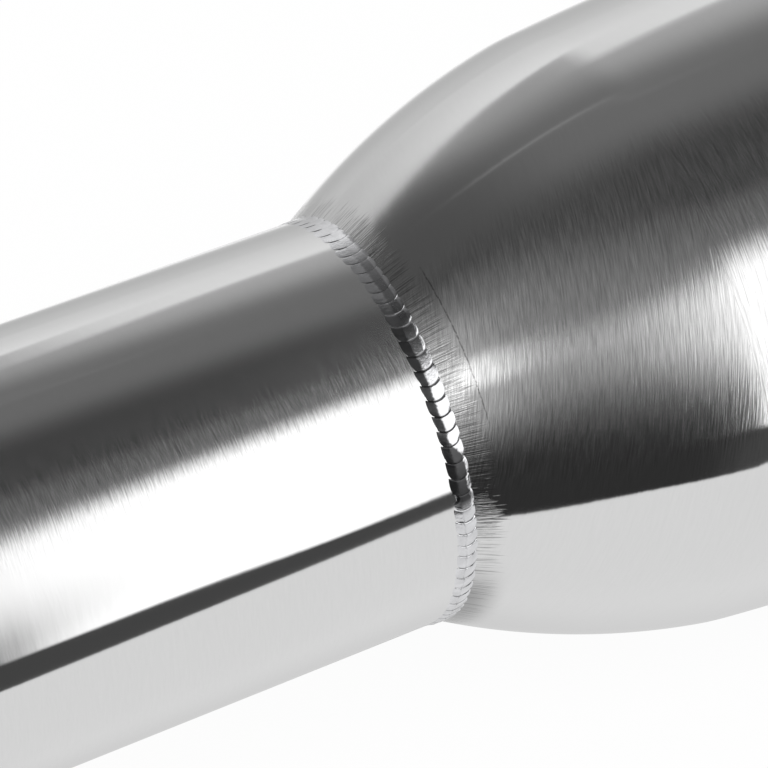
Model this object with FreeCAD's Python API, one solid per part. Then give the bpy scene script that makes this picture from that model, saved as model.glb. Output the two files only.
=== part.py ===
import FreeCAD, Part
import math
import os

# Straight-through muffler: two necks, two domes and a round shell around a slotted core
# that is wrapped in steel wool and packed with glass fibre.
# Millimetres and degrees. The axis is +X, from the inlet's mouth at the origin to the outlet.

# The pipe that the muffler joins, and the two necks
pipe_diameter = 63.5
neck_wall = 1.5
neck_reach = 88.9

# The body, measured from the edge of one dome to the edge of the other
body_diameter = 101.6
body_length = 304.8

# Each dome is one bulging arc, from the neck to the crease where the shell starts
dome_wall = 1.5
dome_length = 40.9
dome_bulge = 2.03
dome_slip = 0.1

# The shell widens gently from each crease to the full diameter of the body
shell_wall = 1.2
flare_length = 58.7
flare_rise = 3.37
shell_seam_gap = 1.6
shell_seam_angle = -60.0
root_gap = 1.0

# The rippled bead that joins a neck to its dome
bead_on_neck = 3.1
bead_on_dome = 0.5
bead_height = 0.3
ripple_count = 88
ripple_depth = 0.15
ripple_lead = 0.45
ripple_crest = 0.3
bead_crown_points = 3
bead_root_depth = 0.5
bead_undercut = 0.2
weld_seat = 0.01

# The slotted core, sleeved over the inner ends of the necks
core_slip = 0.2
core_wall = 1.2
core_lap = 16.0
core_dome_gap = 1.95
core_seam_gap = 1.2
slot_length = 12.0
slot_width = 3.0
slots_around = 9
slot_bridge = 8.0
slot_margin = 6.0

# Tack welds at each end of the core
tack_count = 3
tack_leg = 1.4
tack_span = 14.0

# Steel wool around the core, tied with thin bands, and the glass fibre around both
wool_slip = 0.1
wool_thickness = 3.0
tie_count = 4
tie_width = 4.0
tie_thickness = 0.4
packing_setback = 13.0
packing_slip = 0.3
packing_shoulder_steps = 2

pipe_radius = pipe_diameter / 2
body_radius = body_diameter / 2
overall_length = body_length + 2 * neck_reach
middle = overall_length / 2

AXIS = FreeCAD.Vector(1, 0, 0)
ORIGIN = FreeCAD.Vector(0, 0, 0)


# A point of a turned outline, at a distance along the axis and a radius from it
def at(along, radius):
    return FreeCAD.Vector(along, 0, radius)


# A point given by its place along the axis, its radius and its angle about the axis
def around(along, radius, degrees):
    turn = math.radians(degrees)
    return FreeCAD.Vector(along, radius * math.cos(turn), radius * math.sin(turn))


def line(start, end):
    return Part.LineSegment(start, end).toShape()


# The round stretch of an outline between two places, where radius_at gives its radius
def curve(radius_at, start, end):
    places = (start, (start + end) / 2, end)
    return Part.Arc(*[at(place, radius_at(place)) for place in places]).toShape()


def polygon(points):
    return Part.makePolygon(list(points) + [points[0]])


# Turns a closed outline about the muffler's axis
def turned(edges, degrees=360):
    outline = Part.Wire(Part.__sortEdges__(edges))
    return Part.Face(outline).revolve(ORIGIN, AXIS, degrees)


def turned_polygon(points, degrees=360):
    return turned(polygon(points).Edges, degrees)


def tube(start, end, inner_radius, outer_radius):
    length = end - start
    outer = Part.makeCylinder(outer_radius, length, at(start, 0), AXIS)
    return outer.cut(Part.makeCylinder(inner_radius, length, at(start, 0), AXIS))


# The same piece at the other end of the muffler
def far_end(shape):
    return shape.mirror(at(middle, 0), AXIS)


# A bar that stands on the axis and reaches out through the wall of a rolled tube
def seam_bar(width, reach, degrees):
    bar = Part.makeBox(overall_length, width, reach, FreeCAD.Vector(0, -width / 2, 0))
    bar.rotate(ORIGIN, AXIS, degrees - 90)
    return bar


# Places along the axis
dome_edge = neck_reach
crease = dome_edge + dome_length
flare_end = crease + flare_length

# The arc of the dome's outer face, from the neck to the crease
rim_radius = body_radius - flare_rise
chord = at(crease, rim_radius).sub(at(dome_edge, pipe_radius))
dome_arc = (chord.Length ** 2 / 4 + dome_bulge ** 2) / (2 * dome_bulge)
sink = (dome_arc - dome_bulge) / chord.Length
dome_centre_x = (dome_edge + crease) / 2 + sink * chord.z
dome_centre_r = (pipe_radius + rim_radius) / 2 - sink * chord.x

# The arc of the shell's flare, which ends level with the straight part of the body
flare_arc = (flare_length ** 2 + flare_rise ** 2) / (2 * flare_rise)


# Radius of the dome at a place along the axis, at a depth under its outer face
def dome_radius(along, depth=0.0):
    reach = dome_arc - depth
    return dome_centre_r + math.sqrt(reach ** 2 - (along - dome_centre_x) ** 2)


# Where the dome's face, or a face at a depth under it, comes down to a radius
def dome_place(radius, depth=0.0):
    reach = dome_arc - depth
    return dome_centre_x - math.sqrt(reach ** 2 - (radius - dome_centre_r) ** 2)


# Radius of the shell's flare at a place along the axis, at a depth under its outer face
def flare_radius(along, depth=0.0):
    reach = flare_arc - depth
    return body_radius - flare_arc + math.sqrt(reach ** 2 - (along - flare_end) ** 2)


# The core starts where the dome leaves room for it, and each neck reaches into it by the lap
core_inner = pipe_radius + core_slip
core_outer = core_inner + core_wall
core_start = dome_place(core_outer + core_dome_gap, dome_wall)
core_seam_angle = 90 / slots_around
neck_end = core_start + core_lap

# The wool and the packing leave both ends of the core bare
packing_start = core_start + packing_setback
wool_inner = core_outer + wool_slip
wool_outer = wool_inner + wool_thickness
tie_outer = wool_outer + tie_thickness


# The neck is a plain tube with a shallow groove where the root of the bead bites in
def neck():
    whole = tube(0, neck_end, pipe_radius - neck_wall, pipe_radius)
    groove_start = dome_edge - bead_on_neck - bead_undercut
    groove = tube(groove_start, dome_edge, pipe_radius - bead_root_depth, body_radius)
    return whole.cut(groove)


# The dome is bored for the neck and trimmed square at the crease
def dome():
    hole = pipe_radius + dome_slip
    outer_edge = dome_place(hole)
    inner_edge = dome_place(hole, dome_wall)
    rim = crease - root_gap / 2

    def inner(along):
        return dome_radius(along, dome_wall)

    return turned([
        curve(dome_radius, outer_edge, rim),
        line(at(rim, dome_radius(rim)), at(rim, inner(rim))),
        curve(inner, rim, inner_edge),
        line(at(inner_edge, hole), at(outer_edge, hole)),
    ])


# The shell before its seam is opened: a straight tube with a flare towards each dome
def whole_shell():
    start = crease + root_gap / 2

    def inner(along):
        return flare_radius(along, shell_wall)

    near = [
        line(at(start, inner(start)), at(start, flare_radius(start))),
        curve(flare_radius, start, flare_end),
        curve(inner, start, flare_end),
    ]
    far = [edge.mirror(at(middle, 0), AXIS) for edge in near]
    straight = [
        line(at(flare_end, radius), at(2 * middle - flare_end, radius))
        for radius in (body_radius, body_radius - shell_wall)
    ]
    return turned(near + far + straight)


# The girth weld fills the gap between dome and shell, and is ground down to the crease
def dome_weld():
    left = crease - root_gap / 2
    right = crease + root_gap / 2
    return turned_polygon([
        at(left, dome_radius(left)),
        at(crease, rim_radius),
        at(right, flare_radius(right)),
        at(right, flare_radius(right, shell_wall)),
        at(left, dome_radius(left, dome_wall)),
    ])


# One outline of the bead, at an angle about the axis and with a height of its crown.
# The crown runs ahead of the toes, so that the ripples lie like scales.
def bead_outline(degrees, height):
    pitch = 360 / ripple_count
    widest_step = max(ripple_crest, 1 - ripple_crest) * pitch
    clear = 1 / math.cos(math.radians(widest_step / 2))
    toe = dome_edge - bead_on_neck
    far_toe = dome_edge + bead_on_dome
    neck_level = (pipe_radius + weld_seat) * clear
    dome_level = (dome_radius(far_toe) + weld_seat) * clear
    root_level = (pipe_radius - bead_root_depth + weld_seat) * clear
    root_end = dome_edge - weld_seat
    points = [around(toe, neck_level, degrees)]
    for step in range(1, bead_crown_points + 1):
        share = step / (bead_crown_points + 1)
        swell = math.sin(math.pi * share)
        level = neck_level + share * (dome_level - neck_level) + height * swell
        along = toe + share * (far_toe - toe)
        points.append(around(along, level, degrees + ripple_lead * pitch * swell))
    points.append(around(far_toe, dome_level, degrees))
    points.append(around(root_end, neck_level, degrees))
    points.append(around(root_end, root_level, degrees))
    points.append(around(toe, root_level, degrees))
    return polygon(points)


# The bead is a closed string of ripples, each rising to its crest and falling to the next
def neck_weld():
    pitch = 360 / ripple_count
    outlines = []
    for ripple in range(ripple_count):
        outlines.append(bead_outline(ripple * pitch, bead_height - ripple_depth))
        outlines.append(bead_outline((ripple + ripple_crest) * pitch, bead_height))
    outlines.append(outlines[0])
    skin = Part.makeLoft(outlines, False, True)
    return Part.Solid(Part.Shell(skin.Faces))


# Staggered rows of slots, with plain lands between them for the seam
def core_slots():
    row_pitch = slot_length + slot_bridge
    start = neck_end + slot_margin
    room = 2 * (middle - start)
    rows = int((room + slot_bridge) / row_pitch)
    first = middle - (rows * row_pitch - slot_bridge) / 2
    corner_y = -slot_width / 2
    slots = []
    for row in range(rows):
        for column in range(slots_around):
            corner = FreeCAD.Vector(first + row * row_pitch, corner_y, pipe_radius)
            slot = Part.makeBox(slot_length, slot_width, 2 * core_wall, corner)
            slot.rotate(ORIGIN, AXIS, (column + row % 2 / 2) * 360 / slots_around)
            slots.append(slot)
    return Part.makeCompound(slots)


def whole_core():
    return tube(core_start, 2 * middle - core_start, core_inner, core_outer)


# Small fillets between the end of the core and the neck inside it
def core_tacks():
    tacks = []
    for tack in range(tack_count):
        fillet = turned_polygon([
            at(core_start, pipe_radius),
            at(core_start - tack_leg, pipe_radius),
            at(core_start, pipe_radius + tack_leg),
        ], tack_span)
        fillet.rotate(ORIGIN, AXIS, tack * 360 / tack_count)
        tacks.append(fillet)
    return Part.makeCompound(tacks)


def wool_wrap():
    return tube(packing_start, 2 * middle - packing_start, wool_inner, wool_outer)


# The bands are spread evenly along the wool
def wool_tie(index):
    wool_length = 2 * (middle - packing_start)
    centre = packing_start + wool_length * (index + 0.5) / tie_count
    return tube(centre - tie_width / 2, centre + tie_width / 2, wool_outer, tie_outer)


# The packing fills the shell and is pressed into the shoulders of the domes
def glass_packing():
    under_dome = dome_wall + packing_slip
    under_shell = shell_wall + packing_slip
    rim = crease - root_gap / 2
    start = crease + root_gap / 2
    shoulder = []
    for step in range(packing_shoulder_steps + 1):
        place = packing_start + (rim - packing_start) * step / packing_shoulder_steps
        shoulder.append(at(place, dome_radius(place, under_dome)))
    for step in range(packing_shoulder_steps + 1):
        place = start + (flare_end - start) * step / packing_shoulder_steps
        shoulder.append(at(place, flare_radius(place, under_shell)))
    other = [at(2 * middle - point.x, point.z) for point in reversed(shoulder)]
    bore = tie_outer + packing_slip
    ends = [at(2 * middle - packing_start, bore), at(packing_start, bore)]
    return turned_polygon(shoulder + other + ends)


def write(name, shape):
    shape.exportStep(os.path.join("parts", name + ".step"))
    print(name, "solids", len(shape.Solids), "valid", shape.isValid(), "volume", round(shape.Volume, 1))


os.makedirs("parts", exist_ok=True)

# The pieces that both ends have
for name, piece in (
    ("neck", neck()),
    ("dome", dome()),
    ("dome_weld", dome_weld()),
    ("neck_weld", neck_weld()),
    ("core_tacks", core_tacks()),
):
    write("inlet_" + name, piece)
    write("outlet_" + name, far_end(piece))

# The shell, opened along its seam, and the weld that closes the seam
shell_bar = seam_bar(shell_seam_gap, body_diameter, shell_seam_angle)
write("shell", whole_shell().cut(shell_bar))
write("shell_seam_weld", whole_shell().common(shell_bar))

# The core, with its slots and its own seam
core_bar = seam_bar(core_seam_gap, body_diameter, core_seam_angle)
write("core_tube", whole_core().cut(core_bar).cut(core_slots()))
write("core_seam_weld", whole_core().common(core_bar))

write("wool_wrap", wool_wrap())
write("glass_packing", glass_packing())
for index in range(tie_count):
    write("wool_tie_" + str(index + 1), wool_tie(index))
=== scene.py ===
import math
import random

import bpy
from mathutils import Matrix, Vector


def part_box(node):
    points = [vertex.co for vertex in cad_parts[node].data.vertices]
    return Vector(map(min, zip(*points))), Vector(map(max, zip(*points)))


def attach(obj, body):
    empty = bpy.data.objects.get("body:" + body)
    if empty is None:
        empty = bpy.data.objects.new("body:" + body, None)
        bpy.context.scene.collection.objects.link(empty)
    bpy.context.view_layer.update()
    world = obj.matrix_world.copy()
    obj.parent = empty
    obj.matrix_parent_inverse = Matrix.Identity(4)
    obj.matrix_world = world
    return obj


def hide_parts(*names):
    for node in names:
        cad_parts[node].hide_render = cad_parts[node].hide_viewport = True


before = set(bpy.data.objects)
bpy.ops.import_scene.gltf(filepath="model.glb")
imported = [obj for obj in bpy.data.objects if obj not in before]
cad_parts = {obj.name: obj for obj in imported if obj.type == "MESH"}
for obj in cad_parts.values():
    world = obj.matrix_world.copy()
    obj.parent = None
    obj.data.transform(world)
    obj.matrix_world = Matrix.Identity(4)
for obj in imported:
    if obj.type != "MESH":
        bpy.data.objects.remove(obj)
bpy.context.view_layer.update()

# Sizes in millimetres, the same as the solids have. Meshes are written in metres.
MM = 0.001
PIPE_R = 31.75
NECK_WALL = 1.5
GROOVE_DEPTH = 0.5
DOME_EDGE = 88.9
DOME_LENGTH = 40.9
DOME_BULGE = 2.03
DOME_WALL = 1.5
DOME_SLIP = 0.1
BODY_R = 50.8
SHELL_WALL = 1.2
FLARE_LENGTH = 58.7
FLARE_RISE = 3.37
ROOT_GAP = 1.0
SEAM_GAP = 1.6
SEAM_ANGLE = -60.0
MIDDLE = 241.3
NECK_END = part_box("inlet_neck")[1].x / MM
CREASE = DOME_EDGE + DOME_LENGTH
FLARE_END = CREASE + FLARE_LENGTH
RIM_R = BODY_R - FLARE_RISE

# Finer than the solids: the groove starts under the bead, the crease and the mouths are rounded
GROOVE_START = 86.6
CREASE_BLEND = 2.2
CORNER_R = 0.3

# The weld bead beside each neck: a rising flank, a ridge and a flatter face towards the dome.
# Angles round the bead are in degrees, from the back over the top.
BEAD_START = 85.9
BEAD_END = 89.15
BEAD_SPREAD = 0.8
SPREAD_ANGLE = 80.0
RIDGE_X = 87.15
RIDGE_HEIGHT = 0.36
RIDGE_ROUND = 0.04
SHOULDER = 0.8
SHOULDER_DROP = 0.05
TOE_SINK = 0.02
TOE_WIDTH = 0.1
ROOT_CLEARANCE = 0.01

# Its spots of weld, each lapping over the next. Halfway along, a spot bulges to both sides, and
# every spot differs a little, by up to the spreads. Lengths along the bead are shares of a spot.
RIPPLES = 88
RIPPLE_DEPTH = 0.075
RIPPLE_LEAD = 0.3
NEAR_BULGE = 0.12
FAR_BULGE = 0.22
FAR_PINCH = 0.14
CRACK_DEPTH = 0.04
CRACK_LENGTH = 0.022
# SHADOW_PLACE and SHADOW_LENGTH place a painted shadow in the crack near each spot's end
SHADOW_PLACE = 0.48
SHADOW_LENGTH = 0.04
DOT_WIDTH = 0.09
DOT_LENGTH = 0.16
SIZE_SPREAD = 0.12
LIFT_SPREAD = 0.025
SIDE_SPREAD = 0.12
LEAN_SPREAD = 0.05

# The ridge wanders in waves, so many of each to a turn
WANDER = 0.05
WANDER_COUNTS = (37, 61, 149, 233, 347)

# Points across the bead, and the places along a spot that have them, closer at its ends
BEAD_ACROSS = 30
RIPPLE_PARTS = (0.0, 0.02, 0.04, 0.07, 0.12, 0.2, 0.3, 0.4, 0.5, 0.6, 0.7, 0.8, 0.87, 0.92, 0.95, 0.97, 0.985)

# The stretch where the ridge and its ripples are lower, and by what share
CALM_FROM = 30.0
CALM_TO = 112.0
CALM = 0.6

# The stretch with a stain of oxide beside the neck, which from PAINTED_REFLECTION_FROM is darker and widens
# over the ridge as a painted reflection of a dark gap in the studio, and the one that is dark beside the
# dome. Each has how dark it is, where 1 is nearly black.
OXIDE_FROM = 108.0
OXIDE_TO = 166.0
OXIDE = 0.9
PAINTED_REFLECTION_FROM = 145.0
PAINTED_REFLECTION_WIDTH = 1.5
HEART_FROM = 86.0
HEART_TO = 118.0
HEART = 0.5
HEART_END = 88.7

# A pit in the bead, its hollow also painted dark as shade
PIT_ANGLE = 162.0
PIT_X = 86.15
PIT_R = 0.5
PIT_DEPTH = 0.5

# The arc of each dome
chord_x = CREASE - DOME_EDGE
chord_r = RIM_R - PIPE_R
chord = math.hypot(chord_x, chord_r)
DOME_ARC = (chord ** 2 / 4 + DOME_BULGE ** 2) / (2 * DOME_BULGE)
sink = (DOME_ARC - DOME_BULGE) / chord
DOME_X = (DOME_EDGE + CREASE) / 2 + sink * chord_r
DOME_R = (PIPE_R + RIM_R) / 2 - sink * chord_x
FLARE_ARC = (FLARE_LENGTH ** 2 + FLARE_RISE ** 2) / (2 * FLARE_RISE)


def dome_radius(x, depth=0.0):
    return DOME_R + math.sqrt((DOME_ARC - depth) ** 2 - (x - DOME_X) ** 2)


def dome_place(radius, depth=0.0):
    return DOME_X - math.sqrt((DOME_ARC - depth) ** 2 - (radius - DOME_R) ** 2)


def flare_radius(x, depth=0.0):
    return BODY_R - FLARE_ARC + math.sqrt((FLARE_ARC - depth) ** 2 - (x - FLARE_END) ** 2)


def slope(radius_at, x):
    return (radius_at(x + 0.01) - radius_at(x - 0.01)) / 0.02


# Outer skin of dome, girth weld and flare, with a smooth curve across the crease
def skin(x):
    if x <= CREASE - CREASE_BLEND:
        return dome_radius(x)
    if x >= CREASE + CREASE_BLEND:
        return flare_radius(min(x, FLARE_END))
    left, right = CREASE - CREASE_BLEND, CREASE + CREASE_BLEND
    share = (x - left) / (right - left)
    rise_in = slope(dome_radius, left) * (right - left)
    rise_out = slope(flare_radius, right) * (right - left)
    start, end = dome_radius(left), flare_radius(right)
    h00 = 2 * share ** 3 - 3 * share ** 2 + 1
    h10 = share ** 3 - 2 * share ** 2 + share
    h01 = 3 * share ** 2 - 2 * share ** 3
    h11 = share ** 3 - share ** 2
    return h00 * start + h10 * rise_in + h01 * end + h11 * rise_out


def spread(start, end, steps):
    return [start + (end - start) * i / steps for i in range(steps + 1)]


# Makes a smooth-shaded object of a list of points in millimetres and its faces
def mesh_object(name, points, faces, sharp=32.0):
    mesh = bpy.data.meshes.new(name)
    mesh.from_pydata([Vector(p) * MM for p in points], [], faces)
    mesh.validate()
    mesh.shade_smooth()
    mesh.set_sharp_from_angle(angle=math.radians(sharp))
    piece = bpy.data.objects.new(name, mesh)
    bpy.context.scene.collection.objects.link(piece)
    return piece


# Faces between neighbouring rings of points, where each ring is closed in itself
def ring_faces(rings, width, closed, flip):
    faces = []
    for j in range(rings if closed else rings - 1):
        k = (j + 1) % rings
        for i in range(width):
            n = (i + 1) % width
            face = (j * width + i, j * width + n, k * width + n, k * width + i)
            faces.append(face[::-1] if flip else face)
    return faces


# Turns a closed outline of (along, radius) round the axis. The outline runs along the outside
# first. start and end are functions that give an angle for a radius, for a wall with a slit.
def turned(name, outline, steps=384, start=None, end=None, mirror=False):
    points = []
    ring = start is None
    count = steps if ring else steps + 1
    for j in range(count):
        for x, r in outline:
            if ring:
                turn = 2 * math.pi * j / steps
            else:
                low, high = start(r), end(r)
                turn = low + (high - low) * j / steps
            along = 2 * MIDDLE - x if mirror else x
            points.append((along, r * math.cos(turn), r * math.sin(turn)))
    width = len(outline)
    faces = ring_faces(count, width, ring, mirror)
    if not ring:
        faces.append(tuple(range(width))[::-1])
        faces.append(tuple(steps * width + i for i in range(width)))
    return mesh_object(name, points, faces)


# Rounds each corner of an outline that turns by more than the given angle
def softened(outline, radius, least=35.0, steps=3):
    result = []
    size = len(outline)
    for i in range(size):
        before, here, after = (Vector(outline[k % size]) for k in (i - 1, i, i + 1))
        one, two = before - here, after - here
        if math.degrees(math.pi - one.angle(two)) < least:
            result.append(tuple(here))
            continue
        reach = min(radius, one.length * 0.4, two.length * 0.4)
        start = here + one.normalized() * reach
        end = here + two.normalized() * reach
        for step in range(steps + 1):
            t = step / steps
            result.append(tuple(start * (1 - t) ** 2 + here * 2 * t * (1 - t) + end * t ** 2))
    return result


def neck_outline():
    inner = PIPE_R - NECK_WALL
    root = PIPE_R - GROOVE_DEPTH
    return softened([
        (0.0, PIPE_R), (GROOVE_START, PIPE_R), (GROOVE_START, root), (DOME_EDGE, root),
        (DOME_EDGE, PIPE_R), (NECK_END, PIPE_R), (NECK_END, inner), (0.0, inner),
    ], CORNER_R)


def dome_outline():
    hole = PIPE_R + DOME_SLIP
    rim = CREASE - ROOT_GAP / 2
    bend = CREASE - CREASE_BLEND
    places = spread(dome_place(hole), bend, 64)[:-1] + spread(bend, rim, 6)
    outer = [(x, skin(x)) for x in places]
    inner = [(x, dome_radius(x, DOME_WALL)) for x in spread(rim, dome_place(hole, DOME_WALL), 24)]
    return outer + inner


def dome_weld_outline():
    left, right = CREASE - ROOT_GAP / 2, CREASE + ROOT_GAP / 2
    outer = [(x, skin(x)) for x in spread(left, right, 10)]
    return outer + [(right, flare_radius(right, SHELL_WALL)), (left, dome_radius(left, DOME_WALL))]


def shell_outline():
    start = CREASE + ROOT_GAP / 2
    bend = CREASE + CREASE_BLEND
    places = spread(start, bend, 6)[:-1] + spread(bend, FLARE_END, 48)
    outer = [(x, skin(x)) for x in places]
    inner = [(x, flare_radius(x, SHELL_WALL)) for x in spread(start, FLARE_END, 12)]
    far_outer = [(2 * MIDDLE - x, r) for x, r in reversed(outer)]
    far_inner = [(2 * MIDDLE - x, r) for x, r in inner]
    return outer + far_outer + far_inner + inner[::-1]


# How far the half slit of the shell's seam reaches round at a radius
def slit(radius):
    return math.asin(SEAM_GAP / 2 / radius)


def clamp(value):
    return max(0.0, min(1.0, value))


# A bell of height 1
def bell(distance, width):
    return math.exp(-(distance / width) ** 2)


# 1 between two places, falling to 0 at each over a soft stretch inside them
def within(value, low, high, soft_low, soft_high):
    return clamp(min((value - low) / soft_low, (high - value) / soft_high))


# Height of the bead over the neck at a place across it, and how much of a ripple shows there
def bead_section(x, near, far, ridge_x, height):
    s = (x - near) / (far - near)
    ridge = (ridge_x - near) / (far - near)
    flank = s / ridge * height
    top = height - SHOULDER_DROP * (s - ridge) / (SHOULDER - ridge)
    rise = -RIDGE_ROUND * math.log(math.exp(-flank / RIDGE_ROUND) + math.exp(-top / RIDGE_ROUND))
    past = max(s - SHOULDER, 0.0) / (1 - SHOULDER)
    end_top = height - SHOULDER_DROP * (1 - ridge) / (SHOULDER - ridge)
    rise -= past ** 2 * (end_top - (dome_radius(far) - PIPE_R))
    show = min(1.0, s / TOE_WIDTH) * min(1.0, (1 - s) / TOE_WIDTH)
    return rise, show


# How far the metal has sunk at a share u of a spot. It sinks slowly along the spot, and where the
# bead is calm it rises instead.
def ripple_sink(u, quiet):
    step, fade = 0.07, 0.06
    falling = u ** 1.2 if u > step else 1 - u / step * (1 - step ** 1.2)
    rising = 1 - (1 - (1 - min(u / 0.9, 1.0)) ** 2.5) * min(1.0, (1 - u) / fade)
    return falling + (rising - falling) * quiet


# The spots of weld round a bead, which differ a little in size, height, place and lean
class Spots:
    def __init__(self):
        rng = random.Random(11)
        sizes = [1 + rng.uniform(-SIZE_SPREAD, SIZE_SPREAD) for _ in range(RIPPLES)]
        total = sum(sizes)
        self.widths = [360 * size / total for size in sizes]
        self.starts = [360 * sum(sizes[:i]) / total for i in range(RIPPLES)]
        self.lift = [rng.uniform(-LIFT_SPREAD, LIFT_SPREAD) for _ in range(RIPPLES)]
        self.side = [rng.uniform(-SIDE_SPREAD, SIDE_SPREAD) for _ in range(RIPPLES)]
        self.lean = [rng.uniform(-LEAN_SPREAD, LEAN_SPREAD) for _ in range(RIPPLES)]
        self.waves = [(rng.uniform(0, 2 * math.pi), count) for count in WANDER_COUNTS]

    def ridge(self, spot, angle):
        waves = sum(math.sin(math.radians(angle * count) + start) for start, count in self.waves)
        return RIDGE_X + self.side[spot] + WANDER * waves


# The points (along, radius, angle) across the bead at a share u of a spot, each with how dark it is painted
# there: by oxide stain and dark marks, and by painted shade and painted reflection
def bead_ring(spots, spot, u):
    angle = spots.starts[spot] + u * spots.widths[spot]
    side = spots.side[spot]
    gap = min(u, 1 - u)
    rim = 1 - (1 - gap / 0.5) ** 3
    wide = BEAD_SPREAD * ((1 + math.cos(math.radians(angle - SPREAD_ANGLE))) / 2) ** 10
    near = BEAD_START - wide + (0.5 * side - NEAR_BULGE) * rim
    far = BEAD_END - FAR_PINCH + (0.4 * side + FAR_BULGE) * rim
    ridge_x = spots.ridge(spot, angle)
    quiet = within(angle, CALM_FROM, CALM_TO, soft_low=15, soft_high=10)
    lively = 1 - CALM * quiet
    crack = CRACK_DEPTH * bell(gap, CRACK_LENGTH)
    level = spots.lift[spot] * rim - RIPPLE_DEPTH * ripple_sink(u, quiet) - crack
    # A painted shadow in the crack where each spot laps over the next
    shadow = bell((u + 0.5) % 1 - SHADOW_PLACE, SHADOW_LENGTH)
    # Past PAINTED_REFLECTION_FROM the stain gets darker and reaches over the ridge: painted reflection of a
    # dark gap
    painted_reflection = clamp((angle - PAINTED_REFLECTION_FROM) / 5)
    oxide_and_reflection = (OXIDE + 0.06 * painted_reflection) * within(angle, OXIDE_FROM, OXIDE_TO, soft_low=8, soft_high=4)
    oxide_and_reflection_edge = ridge_x + PAINTED_REFLECTION_WIDTH * painted_reflection
    heart = (HEART + 1.2 * side) * within(angle, HEART_FROM, HEART_TO, soft_low=5, soft_high=8)
    result = []
    for i in range(BEAD_ACROSS + 1):
        s = i / BEAD_ACROSS
        x = near + (far - near) * s
        rise, show = bead_section(x, near, far, ridge_x, RIDGE_HEIGHT * lively)
        bow = RIPPLE_LEAD * (1 - abs(2 * s - 1) ** 2.2) + spots.lean[spot] * (2 * s - 1)
        turn = math.radians(angle + bow * 360 / RIPPLES)
        ends = 1 - quiet * clamp((x - ridge_x) / 0.4 + 0.5)
        r = PIPE_R - TOE_SINK + rise + level * show * lively * (0.4 + 0.6 * ends)
        pit = math.hypot(x - PIT_X, r * (turn - math.radians(PIT_ANGLE))) / PIT_R
        r += show * PIT_DEPTH * (0.25 * bell(pit - 1.5, 0.4) - bell(pit, 1.0))
        dots = bell(x - ridge_x - 0.1, DOT_WIDTH) * (0.15 + 0.85 * bell(gap, DOT_LENGTH))
        stain_and_reflection = oxide_and_reflection * clamp((oxide_and_reflection_edge - x) / 0.15 + 0.5)
        core = heart * clamp(min((x - ridge_x) / 0.3 + 0.5, (HEART_END - x) / 0.2))
        # How dark the point is painted: painted shadow in the cracks, dark dots along the ridge where spots
        # meet, the oxide stain with its painted reflection, and the dark stretch beside the dome
        dark = max(0.85 * shadow * show * ends, 0.7 * dots * lively, stain_and_reflection, core)
        # The pit's hollow is painted dark: painted shade
        result.append((x, r, turn, min(1.0, dark + 1.5 * bell(pit, 1.0))))
    return result


# The four points of the bead's root in the groove of the neck
def bead_root(spots, spot, u):
    turn = math.radians(spots.starts[spot] + u * spots.widths[spot])
    bottom = PIPE_R - GROOVE_DEPTH + ROOT_CLEARANCE
    near = GROOVE_START + ROOT_CLEARANCE
    places = ((DOME_EDGE, PIPE_R + ROOT_CLEARANCE), (DOME_EDGE - ROOT_CLEARANCE, bottom),
              (near, bottom), (near, PIPE_R + ROOT_CLEARANCE / 2))
    return [(x, r, turn, 0.0) for x, r in places]


# One spot of weld after another, each lapping over the next with a small step and a fine crack
def weld_bead(name, mirror):
    spots = Spots()
    rings = []
    for spot in range(RIPPLES):
        for u in RIPPLE_PARTS:
            rings.append(bead_ring(spots, spot, u) + bead_root(spots, spot, u))
    points, stain_and_shade = [], []
    for ring in rings:
        for x, r, turn, dark in ring:
            along = 2 * MIDDLE - x if mirror else x
            points.append((along, r * math.cos(turn), r * math.sin(turn)))
            stain_and_shade.append(dark)
    faces = ring_faces(len(rings), len(rings[0]), True, mirror)
    bead = mesh_object(name, points, faces, sharp=60.0)
    bead.data.attributes.new("stain_and_shade", "FLOAT", "POINT").data.foreach_set("value", stain_and_shade)
    return bead


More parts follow.
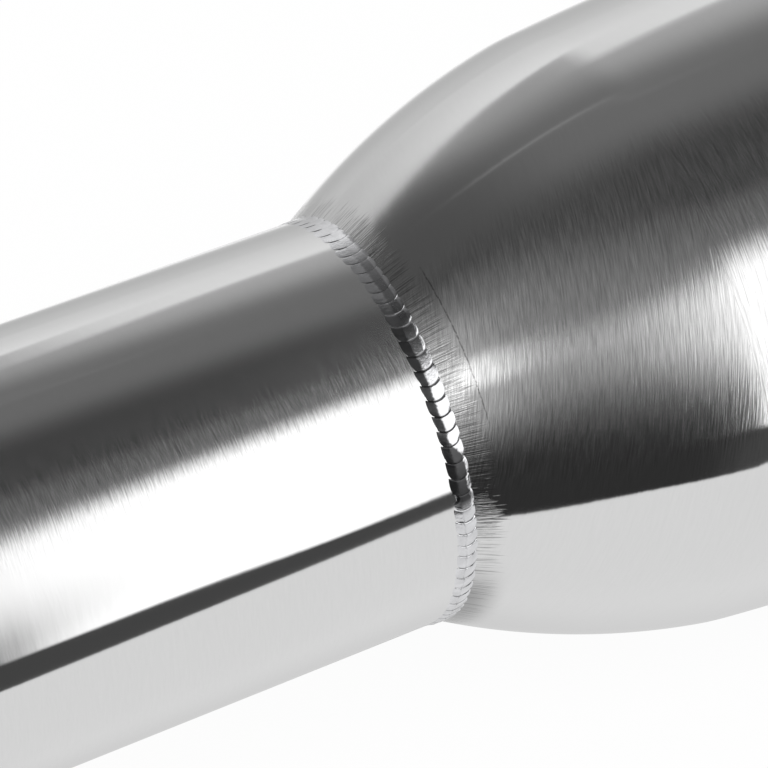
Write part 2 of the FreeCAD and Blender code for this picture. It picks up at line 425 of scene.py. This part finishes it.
# Short ways to write shader nodes
class Graph:
    def __init__(self, tree):
        self.tree = tree
        tree.nodes.clear()

    def node(self, kind, **settings):
        made = self.tree.nodes.new(kind)
        for key, value in settings.items():
            setattr(made, key, value)
        return made

    def put(self, socket, value):
        if isinstance(value, bpy.types.NodeSocket):
            self.tree.links.new(value, socket)
        else:
            socket.default_value = value

    def math(self, kind, *values, clamp=False):
        made = self.node("ShaderNodeMath", operation=kind, use_clamp=clamp)
        for socket, value in zip(made.inputs, values):
            self.put(socket, value)
        return made.outputs[0]

    def ramp(self, value, low, high, to_low=0.0, to_high=1.0, kind="SMOOTHSTEP"):
        made = self.node("ShaderNodeMapRange", interpolation_type=kind, clamp=True)
        for name, given in (("Value", value), ("From Min", low), ("From Max", high),
                            ("To Min", to_low), ("To Max", to_high)):
            self.put(made.inputs[name], given)
        return made.outputs[0]

    def plus(self, one, two):
        return self.math("ADD", one, two)

    def minus(self, one, two):
        return self.math("SUBTRACT", one, two)

    def times(self, one, two):
        return self.math("MULTIPLY", one, two)

    # A straight line: slope times the value, plus a level
    def line(self, value, slope, level):
        return self.math("MULTIPLY_ADD", value, slope, level)

    # 1 where a value is above a place, or below it, with a soft edge of a given width
    def above(self, value, place, soft):
        return self.ramp(value, place - soft / 2, place + soft / 2)

    def below(self, value, place, soft):
        return self.ramp(value, place - soft / 2, place + soft / 2, 1.0, 0.0)

    def band(self, value, low, high, soft_low, soft_high):
        return self.times(self.above(value, low, soft_low), self.below(value, high, soft_high))

    def blend(self, share, one, two):
        made = self.node("ShaderNodeMix", data_type="FLOAT")
        self.put(made.inputs[0], share)
        self.put(made.inputs[2], one)
        self.put(made.inputs[3], two)
        return made.outputs[0]

    # 0 up to a place of a value, then how far past it the value is
    def past(self, value, start):
        return self.math("MAXIMUM", self.minus(value, start), 0.0)

    def vector(self, x, y, z):
        made = self.node("ShaderNodeCombineXYZ")
        for socket, value in zip(made.inputs, (x, y, z)):
            self.put(socket, value)
        return made.outputs[0]

    def noise(self, vector, scale=1.0, detail=2.0, rough=0.5):
        made = self.node("ShaderNodeTexNoise")
        self.put(made.inputs["Vector"], vector)
        made.inputs["Scale"].default_value = scale
        made.inputs["Detail"].default_value = detail
        made.inputs["Roughness"].default_value = rough
        return made.outputs["Fac"]

    def bump(self, height, distance, normal=None):
        made = self.node("ShaderNodeBump")
        made.inputs["Strength"].default_value = 1.0
        made.inputs["Distance"].default_value = distance
        self.put(made.inputs["Height"], height)
        if normal is not None:
            self.put(made.inputs["Normal"], normal)
        return made.outputs["Normal"]

    def grey(self, value):
        made = self.node("ShaderNodeCombineColor")
        for socket in made.inputs:
            self.put(socket, value)
        return made.outputs[0]

    # The angle about the axis of a direction or place, in degrees: 0 in front, 90 above, -90 below
    def turn(self, y, z):
        return self.times(self.math("ARCTAN2", z, self.times(y, -1.0)), math.degrees(1.0))

    def output(self, kind, shader):
        self.put(self.node(kind).inputs[0], shader)


# Edges in the studio that the metal mirrors, in degrees about the axis
CEILING_BACK = 106.0
NEAR_CEILING = 78.0
WALL_TOP = 56.0
WALL_LIT = 48.0
BACKDROP_EDGE = 156.0
TABLE_BACK = -153.5

# Brightness, where 1 is white
CEILING = 0.082
CEILING_RIGHT = 0.062
STRIP = 0.33
WALL = 0.22
BOX = 1.7
PLAIN_LIGHT = 0.8

# The far lamp and the rings of glow round it, each from one angle to another with soft edges
LAMP_RINGS = (
    {"low": 8.0, "high": 92.0, "soft": 20.0, "level": 0.26},
    {"low": 20.0, "high": 80.0, "soft": 20.0, "level": 0.7},
    {"low": 42.0, "high": 57.0, "soft": 8.0, "level": 2.2},
)


# A direction in the studio: its angle about the axis, and how far it points along the axis, from
# -1 to 1. left and right count the same to one side only.
class Direction:
    def __init__(self, g):
        split = g.node("ShaderNodeSeparateXYZ")
        g.put(split.inputs[0], g.node("ShaderNodeTexCoord").outputs["Generated"])
        self.along = split.outputs[0]
        self.turn = g.turn(split.outputs[1], split.outputs[2])
        self.right = g.math("MAXIMUM", self.along, 0.0)
        self.left = g.math("MAXIMUM", g.times(self.along, -1.0), 0.0)


# Dark ceiling, paler towards the back, with a thin strip of light
def ceiling(g, to):
    in_front = g.below(to.turn, CEILING_BACK, 12.0)
    base = g.blend(in_front, CEILING, g.ramp(to.along, -0.1, 0.2, CEILING, CEILING_RIGHT))
    behind = g.times(g.ramp(to.turn, 94.0, 116.0, 0.0, 0.11), g.ramp(to.left, 0.0, 0.28, 1.0, 0.1))
    far_behind = g.times(g.ramp(to.turn, 130.0, 152.0, 0.0, 0.2), g.ramp(to.left, 0.0, 0.24, 1.0, 0.05))
    right_behind = g.times(g.ramp(to.turn, 126.0, 146.0, 0.0, 0.13), g.above(to.right, 0.26, 0.08))
    room = g.plus(g.plus(behind, far_behind), g.plus(right_behind, base))
    bent = g.plus(to.turn, g.ramp(to.along, 0.12, 0.3, 0.0, 3.5))
    strip = g.times(g.band(bent, 127.2, 128.2, 0.4, 0.4), g.band(to.along, -0.18, 0.3, 0.08, 0.12))
    return g.blend(strip, room, STRIP)


# The ceiling in front grows paler towards the lit wall
def ceiling_in_front(g, to, room):
    nearer = g.line(g.ramp(to.left, 0.0, 0.55), -22.0, to.turn)
    nearer = g.plus(nearer, g.ramp(to.along, 0.0, 0.2, 0.0, 3.5))
    level = g.ramp(nearer, 54.0, 80.0, 0.23, 0.1, "LINEAR")
    return g.blend(g.below(nearer, NEAR_CEILING, 8.0), room, level)


# Front wall beside the soft box: dark below and lit above, with the light that the box spills on it
def front_wall(g, to, room):
    climb = g.ramp(to.turn, -3.0, 42.0, 0.0, 1.0, "LINEAR")
    wall = g.line(g.times(climb, climb), 0.38, g.ramp(to.along, 0.1, 0.3, 0.038, 0.01))
    wall = g.blend(g.above(to.turn, WALL_LIT, 16.0), wall, WALL)
    spill_edge = g.ramp(to.turn, 6.0, 34.0, -0.02, -0.3)
    spill = g.times(g.ramp(to.along, spill_edge, 0.13), g.below(to.turn, WALL_LIT, 12.0))
    wall = g.blend(spill, wall, g.ramp(to.turn, 4.0, 34.0, 0.08, 0.85))
    return g.blend(g.below(to.turn, WALL_TOP, 4.0), room, wall)


# Lamp far to the left, with two rings of glow round it
def left_lamp(g, to, room):
    for ring in LAMP_RINGS:
        height = g.band(to.turn, ring["low"], ring["high"], ring["soft"], ring["soft"])
        room = g.blend(g.times(g.above(to.left, 0.57, 0.18), height), room, ring["level"])
    return room


# Soft box in front, which stands askew and reaches over the object at its right end
def soft_box(g, to, room):
    top = g.math("MINIMUM", g.line(to.along, 44.0, 42.5), g.line(to.along, 16.0, 49.5))
    top = g.plus(top, g.math("MINIMUM", g.times(g.past(to.along, 0.66), 500.0), 110.0))
    foot = g.math("MINIMUM", g.times(g.past(to.along, 0.57), 180.0), 30.0)
    foot = g.plus(foot, g.ramp(to.along, 0.3, 0.45, -6.0, -9.5))
    left_edge = g.ramp(to.turn, 0.0, 36.0, 0.13, -0.04)
    box = g.times(g.ramp(to.along, left_edge, 0.2), g.above(g.minus(to.turn, foot), 0.0, 2.0))
    box = g.times(box, g.below(g.minus(to.turn, top), 1.0, 12.0))
    return g.blend(box, room, BOX)


# Pale backdrop behind, whose lower edge runs askew
def backdrop(g, to, room):
    tilt = g.minus(g.times(to.along, 24.0), g.ramp(to.along, 0.265, 0.3, 0.0, 12.5))
    tilt = g.plus(tilt, g.ramp(to.along, 0.325, 0.365, -1.2, 2.0))
    level = g.math("MINIMUM", g.line(to.along, 0.8, 0.8), 0.92)
    level = g.times(level, g.ramp(to.turn, 156.0, 180.0, 1.12, 0.88))
    return g.blend(g.above(g.minus(to.turn, tilt), BACKDROP_EDGE, 2.0), room, level)


# Pale table with a brighter stretch at its back
def table(g, to, room):
    askew = g.past(to.left, 0.05)
    edge = g.line(g.times(askew, askew), -60.0, g.ramp(to.along, 0.1, 0.3, -20.3, -19.4))
    level = g.ramp(to.turn, -130.0, -75.0, 0.69, 0.95)
    level = g.line(g.band(to.turn, -150.0, -137.0, 6.0, 6.0), 0.4, level)
    under = g.ramp(to.turn, -180.0, -160.0, 0.72, 0.58)
    level = g.blend(g.below(to.turn, TABLE_BACK, 9.0), level, under)
    return g.blend(g.below(g.minus(to.turn, edge), 0.0, 1.2), room, level)


# The studio that the metal mirrors. Its lights and screens are long and lie along the muffler,
# so each is given by angles about the axis and by how far along the axis it lies. Other light is
# plain and white, and so is what the camera sees.
def make_world():
    world = bpy.data.worlds.new("studio")
    bpy.context.scene.world = world
    world.use_nodes = True
    g = Graph(world.node_tree)
    to = Direction(g)
    room = ceiling(g, to)
    for thing in (ceiling_in_front, front_wall, left_lamp, soft_box, backdrop, table):
        room = thing(g, to, room)
    path = g.node("ShaderNodeLightPath")
    seen = g.blend(path.outputs["Is Glossy Ray"], PLAIN_LIGHT, room)
    seen = g.blend(path.outputs["Is Camera Ray"], seen, 1.0)
    back = g.node("ShaderNodeBackground")
    g.put(back.inputs["Color"], g.grey(seen))
    g.output("ShaderNodeOutputWorld", back.outputs[0])


# A place on the muffler: along the axis in metres, the direction from the axis, and its angle
class Place:
    def __init__(self, g):
        split = g.node("ShaderNodeSeparateXYZ")
        g.put(split.inputs[0], g.node("ShaderNodeTexCoord").outputs["Object"])
        self.x, y, z = split.outputs
        radius = g.math("SQRT", g.plus(g.times(y, y), g.times(z, z)))
        self.c = g.math("DIVIDE", y, radius)
        self.s = g.math("DIVIDE", z, radius)
        self.turn = g.turn(self.c, self.s)

    # Noise over a value that grows along the axis, and over the direction round it at a scale
    def noise(self, g, along, round_it, detail, rough=0.6):
        vector = g.vector(along, g.times(self.c, round_it), g.times(self.s, round_it))
        return g.noise(vector, 1.0, detail, rough)


# Fine lines that run round the axis, between -0.5 and 0.5. Their spacing and their length are in
# millimetres, at a radius of about 40 mm. twist makes them lean, by the tangent of the angle.
def ring_lines(g, at, twist, apart, length, detail, shift):
    radius, arc_of_degree = 38.0, 0.0007
    askew = g.line(at.turn, twist * arc_of_degree, at.x)
    along = g.line(askew, 1 / (apart * MM), shift)
    return g.minus(at.noise(g, along, radius / length, detail, 0.55), 0.5)


# Short scratches that run away from a weld bead, a fine ring mark and, low down beside the bead, painted
# shade. Gives the new normal and shade.
def grinding_marks(g, at, normal, shade):
    from_middle = g.math("ABSOLUTE", g.minus(at.x, MIDDLE * MM))
    from_bead = g.times(g.minus((MIDDLE - BEAD_END) * MM, from_middle), 1 / MM)

    def scratch(along, round_it, detail):
        return at.noise(g, g.times(at.x, along), round_it, detail)

    reach = g.line(scratch(30.0, 95.0, 2.0), 5.5, 0.3)
    here = g.times(g.ramp(g.minus(from_bead, reach), -1.2, 0.4, 1.0, 0.0), g.ramp(from_bead, -0.7, 0.0))
    cross = g.minus(scratch(90.0, 150.0, 3.0), 0.5)
    normal = g.bump(g.times(cross, here), 0.00004, normal)
    dark = g.times(g.ramp(scratch(120.0, 150.0, 2.0), 0.5, 0.64), g.times(here, 0.42))
    drift = g.line(scratch(0.0, 40.0, 2.0), 0.3, g.times(at.turn, 0.005))
    ring = g.band(g.minus(from_bead, drift), 3.46, 3.64, 0.08, 0.08)
    ring = g.times(ring, g.band(at.turn, 36.0, 76.0, 5.0, 5.0))
    ring = g.times(ring, g.ramp(scratch(0.0, 90.0, 3.0), 0.35, 0.6, 0.1, 0.55))
    # Painted shade: the underside is darkened near the corner by the bead
    low_painted_shade = g.times(g.ramp(from_bead, 0.2, 5.0, 0.5, 0.0), g.ramp(at.turn, -22.0, -2.0, 1.0, 0.0))
    shade = g.times(shade, g.minus(1.0, g.math("MAXIMUM", dark, ring)))
    return normal, g.times(shade, g.minus(1.0, low_painted_shade))


# Brushed metal that stretches its highlights round the axis
def brushed(g, tone, normal, roughness, stretch):
    shader = g.node("ShaderNodeBsdfPrincipled")
    shader.inputs["Metallic"].default_value = 1.0
    shader.inputs["Anisotropic"].default_value = stretch
    shader.inputs["Anisotropic Rotation"].default_value = 0.25
    g.put(shader.inputs["Roughness"], roughness)
    g.put(shader.inputs["Base Color"], tone)
    g.put(shader.inputs["Normal"], normal)
    tangent = g.node("ShaderNodeTangent", direction_type="RADIAL", axis="X")
    g.put(shader.inputs["Tangent"], tangent.outputs[0])
    return shader.outputs[0]


# Polished sheet with fine lines brushed round the axis, which show most at the back and between
# the angles low and high. marks adds those of grinding beside the weld beads.
def steel(name, colour=0.68, roughness=0.14, marks=False, low=46.0, high=66.0, twist=0.0):
    least_worn, rougher, rough_share = 0.06, 0.16, 0.14
    material = bpy.data.materials.new(name)
    material.use_nodes = True
    g = Graph(material.node_tree)
    at = Place(g)
    rear = g.above(g.math("ABSOLUTE", at.turn), 144.0, 12.0)
    worn = g.math("MAXIMUM", g.band(at.turn, low, high, 18.0, 14.0), g.math("MAXIMUM", rear, least_worn))
    fine = g.times(ring_lines(g, at, twist, apart=0.16, length=2.8, detail=2.0, shift=0.0), worn)
    hair = g.times(ring_lines(g, at, twist, apart=0.3, length=4.0, detail=1.5, shift=31.0), worn)
    broad = ring_lines(g, at, twist, apart=2.4, length=25.0, detail=1.0, shift=57.0)
    height = g.line(fine, 0.5, g.line(broad, 0.6, hair))
    normal = g.bump(height, 0.000016)
    shade = g.line(hair, 0.25, g.line(fine, 0.6, colour))
    if marks:
        normal, shade = grinding_marks(g, at, normal, shade)
    tone = g.grey(shade)
    # The lower half mirrors more sharply
    sharpness = g.ramp(at.turn, 14.0, 34.0, 0.5, 1.0)
    mix = g.node("ShaderNodeMixShader")
    g.put(mix.inputs[0], g.times(g.ramp(g.plus(hair, fine), 0.0, 0.25), rough_share))
    g.put(mix.inputs[1], brushed(g, tone, normal, g.times(sharpness, roughness), 1.0))
    g.put(mix.inputs[2], brushed(g, tone, normal, g.times(sharpness, roughness + rougher), 0.3))
    g.output("ShaderNodeOutputMaterial", mix.outputs[0])
    return material


# Weld metal as it set: bright, smooth and slightly pitted, and dark where the mesh marks oxide stain, dark
# marks, painted shade and painted reflection
def weld_metal(name):
    material = bpy.data.materials.new(name)
    material.use_nodes = True
    g = Graph(material.node_tree)
    place = g.node("ShaderNodeTexCoord").outputs["Object"]
    grain = g.noise(place, 2600.0, 3.0, 0.6)
    cloud = g.noise(place, 500.0, 2.0, 0.5)
    stain_and_shade = g.node("ShaderNodeAttribute", attribute_name="stain_and_shade").outputs["Fac"]
    unstained_unshaded = g.math("MULTIPLY_ADD", stain_and_shade, -0.93, 1.0, clamp=True)
    shade = g.times(g.line(cloud, 0.34, 0.49), unstained_unshaded)
    tone = g.node("ShaderNodeCombineColor")
    for socket, share in zip(tone.inputs, (0.99, 0.993, 1.015)):
        g.put(socket, g.times(shade, share))
    shader = g.node("ShaderNodeBsdfPrincipled")
    shader.inputs["Metallic"].default_value = 1.0
    g.put(shader.inputs["Base Color"], tone.outputs[0])
    g.put(shader.inputs["Roughness"], g.line(grain, 0.1, g.line(stain_and_shade, 0.2, 0.1)))
    g.put(shader.inputs["Normal"], g.bump(g.plus(grain, cloud), 0.000025))
    g.output("ShaderNodeOutputMaterial", shader.outputs[0])
    return material


# Matted fibre for the wool and the packing
def fibre(name, dark, pale, scale, roughness, metallic):
    material = bpy.data.materials.new(name)
    material.use_nodes = True
    g = Graph(material.node_tree)
    place = g.node("ShaderNodeTexCoord").outputs["Object"]
    warp = g.node("ShaderNodeTexNoise")
    g.put(warp.inputs["Vector"], place)
    warp.inputs["Scale"].default_value = scale * 0.15
    bent = g.node("ShaderNodeVectorMath", operation="MULTIPLY_ADD")
    g.put(bent.inputs[0], warp.outputs["Color"])
    bent.inputs[1].default_value = (0.01, 0.004, 0.004)
    g.put(bent.inputs[2], place)
    stretch = g.node("ShaderNodeVectorMath", operation="MULTIPLY")
    g.put(stretch.inputs[0], bent.outputs[0])
    stretch.inputs[1].default_value = (0.12, 1.0, 1.0)
    strand = g.noise(stretch.outputs[0], scale, 4.0, 0.7)
    shader = g.node("ShaderNodeBsdfPrincipled")
    shader.inputs["Metallic"].default_value = metallic
    shader.inputs["Roughness"].default_value = roughness
    g.put(shader.inputs["Base Color"], g.grey(g.ramp(strand, 0.3, 0.7, dark, pale, "LINEAR")))
    g.put(shader.inputs["Normal"], g.bump(strand, 0.0004))
    g.output("ShaderNodeOutputMaterial", shader.outputs[0])
    return material


def give(piece, material):
    piece.data.materials.clear()
    piece.data.materials.append(material)


neck_steel = steel("neck_steel")
shell_steel = steel("shell_steel", low=18.0, high=74.0, twist=-0.04)
dome_steel = steel("dome_steel", marks=True, low=18.0, high=74.0, twist=-0.28)
weld_ground = steel("ground_weld", colour=0.67, roughness=0.2)
core_metal = steel("core_steel_look", colour=0.55, roughness=0.3)
bead_metal = weld_metal("bead_metal")
wool = fibre("steel_wool_look", dark=0.03, pale=0.32, scale=900.0, roughness=0.45, metallic=0.9)
glass = fibre("glass_fibre_look", dark=0.55, pale=0.9, scale=700.0, roughness=0.9, metallic=0.0)

# The pieces of each end
for end, mirror in (("inlet", False), ("outlet", True)):
    for part, outline, material, slot in (
        ("neck", neck_outline(), neck_steel, "stainless"),
        ("dome", dome_outline(), dome_steel, "stainless"),
        ("dome_weld", dome_weld_outline(), shell_steel, "stainless"),
    ):
        piece = turned(end + "_" + part + "_skin", outline, mirror=mirror)
        give(piece, material)
        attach(piece, "root")
        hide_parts(end + "_" + part)
    bead = weld_bead(end + "_bead", mirror)
    give(bead, bead_metal)
    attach(bead, "root")
    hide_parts(end + "_neck_weld")

# The shell, open along its seam, and the seam's weld
seam = math.radians(SEAM_ANGLE)
shell = turned("shell_skin", shell_outline(), 380,
               lambda r: seam + slit(r), lambda r: seam + 2 * math.pi - slit(r))
give(shell, shell_steel)
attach(shell, "root")
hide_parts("shell")
strip = turned("shell_seam_skin", shell_outline(), 6,
               lambda r: seam - slit(r), lambda r: seam + slit(r))
give(strip, weld_ground)
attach(strip, "root")
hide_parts("shell_seam_weld")

# The pieces inside keep the solids' meshes
inside = (("inlet_core_tacks", bead_metal), ("outlet_core_tacks", bead_metal), ("core_tube", core_metal),
          ("core_seam_weld", core_metal), ("wool_wrap", wool), ("glass_packing", glass))
for node, material in inside:
    give(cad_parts[node], material)
for node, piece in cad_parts.items():
    if node.startswith("wool_tie"):
        give(piece, core_metal)


# Pale floor under the muffler, which the camera sees nearly white and the metal doesn't mirror
def make_floor():
    left, right, reach = -3.0, 3.48, 3.0
    level = -BODY_R * MM - 0.0001
    white_share = 0.95
    corners = [(left, -reach, level), (right, -reach, level), (right, reach, level), (left, reach, level)]
    mesh = bpy.data.meshes.new("floor")
    mesh.from_pydata(corners, [], [(0, 1, 2, 3)])
    floor = bpy.data.objects.new("floor", mesh)
    bpy.context.scene.collection.objects.link(floor)
    material = bpy.data.materials.new("floor_white")
    material.use_nodes = True
    g = Graph(material.node_tree)
    diffuse = g.node("ShaderNodeBsdfDiffuse")
    diffuse.inputs["Color"].default_value = (0.9, 0.9, 0.9, 1)
    glow = g.node("ShaderNodeEmission")
    glow.inputs["Color"].default_value = (1, 1, 1, 1)
    glow.inputs["Strength"].default_value = 1.0
    mix = g.node("ShaderNodeMixShader")
    g.put(mix.inputs[0], g.times(g.node("ShaderNodeLightPath").outputs["Is Camera Ray"], white_share))
    g.put(mix.inputs[1], diffuse.outputs[0])
    g.put(mix.inputs[2], glow.outputs[0])
    g.output("ShaderNodeOutputMaterial", mix.outputs[0])
    mesh.materials.append(material)
    floor.visible_glossy = False


def soft_lamp(name, place, target, size, power):
    data = bpy.data.lights.new(name, "AREA")
    data.shape = "RECTANGLE"
    data.size, data.size_y = size
    data.energy = power
    lamp = bpy.data.objects.new(name, data)
    bpy.context.scene.collection.objects.link(lamp)
    place, target = Vector(place), Vector(target)
    aim = (place - target).to_track_quat("Z", "Y").to_matrix().to_4x4()
    lamp.matrix_world = Matrix.Translation(place) @ aim
    lamp.visible_glossy = False
    lamp.visible_camera = False


# The camera at the photograph's angle. Its target and its shift to the right and up are in
# millimetres, and so is its distance.
def make_camera():
    azimuth, elevation = math.radians(-29.28), math.radians(41.56)
    target_x, shift_right, shift_up, distance = 87.7, 3.48, 5.74, 549.1
    right = Vector((math.cos(azimuth), math.sin(azimuth), 0))
    up = Vector((-math.sin(azimuth) * math.sin(elevation), math.cos(azimuth) * math.sin(elevation),
                 math.cos(elevation)))
    back = Vector((math.sin(azimuth) * math.cos(elevation), -math.cos(azimuth) * math.cos(elevation),
                   math.sin(elevation)))
    data = bpy.data.cameras.new("camera")
    data.sensor_width = 36.0
    data.lens = 172.29
    data.clip_start = 0.01
    data.clip_end = 20.0
    camera = bpy.data.objects.new("camera", data)
    bpy.context.scene.collection.objects.link(camera)
    place = (Vector((target_x, 0, 0)) + shift_right * right + shift_up * up + distance * back) * MM
    camera.matrix_world = Matrix.Translation(place) @ Matrix((right, up, back)).transposed().to_4x4()
    bpy.context.scene.camera = camera


make_world()
make_floor()
soft_lamp("key", place=(-0.3, -0.8, 1.3), target=(0.1, 0, 0), size=(1.2, 0.9), power=12.0)
make_camera()
bpy.context.scene.view_settings.view_transform = "Standard"
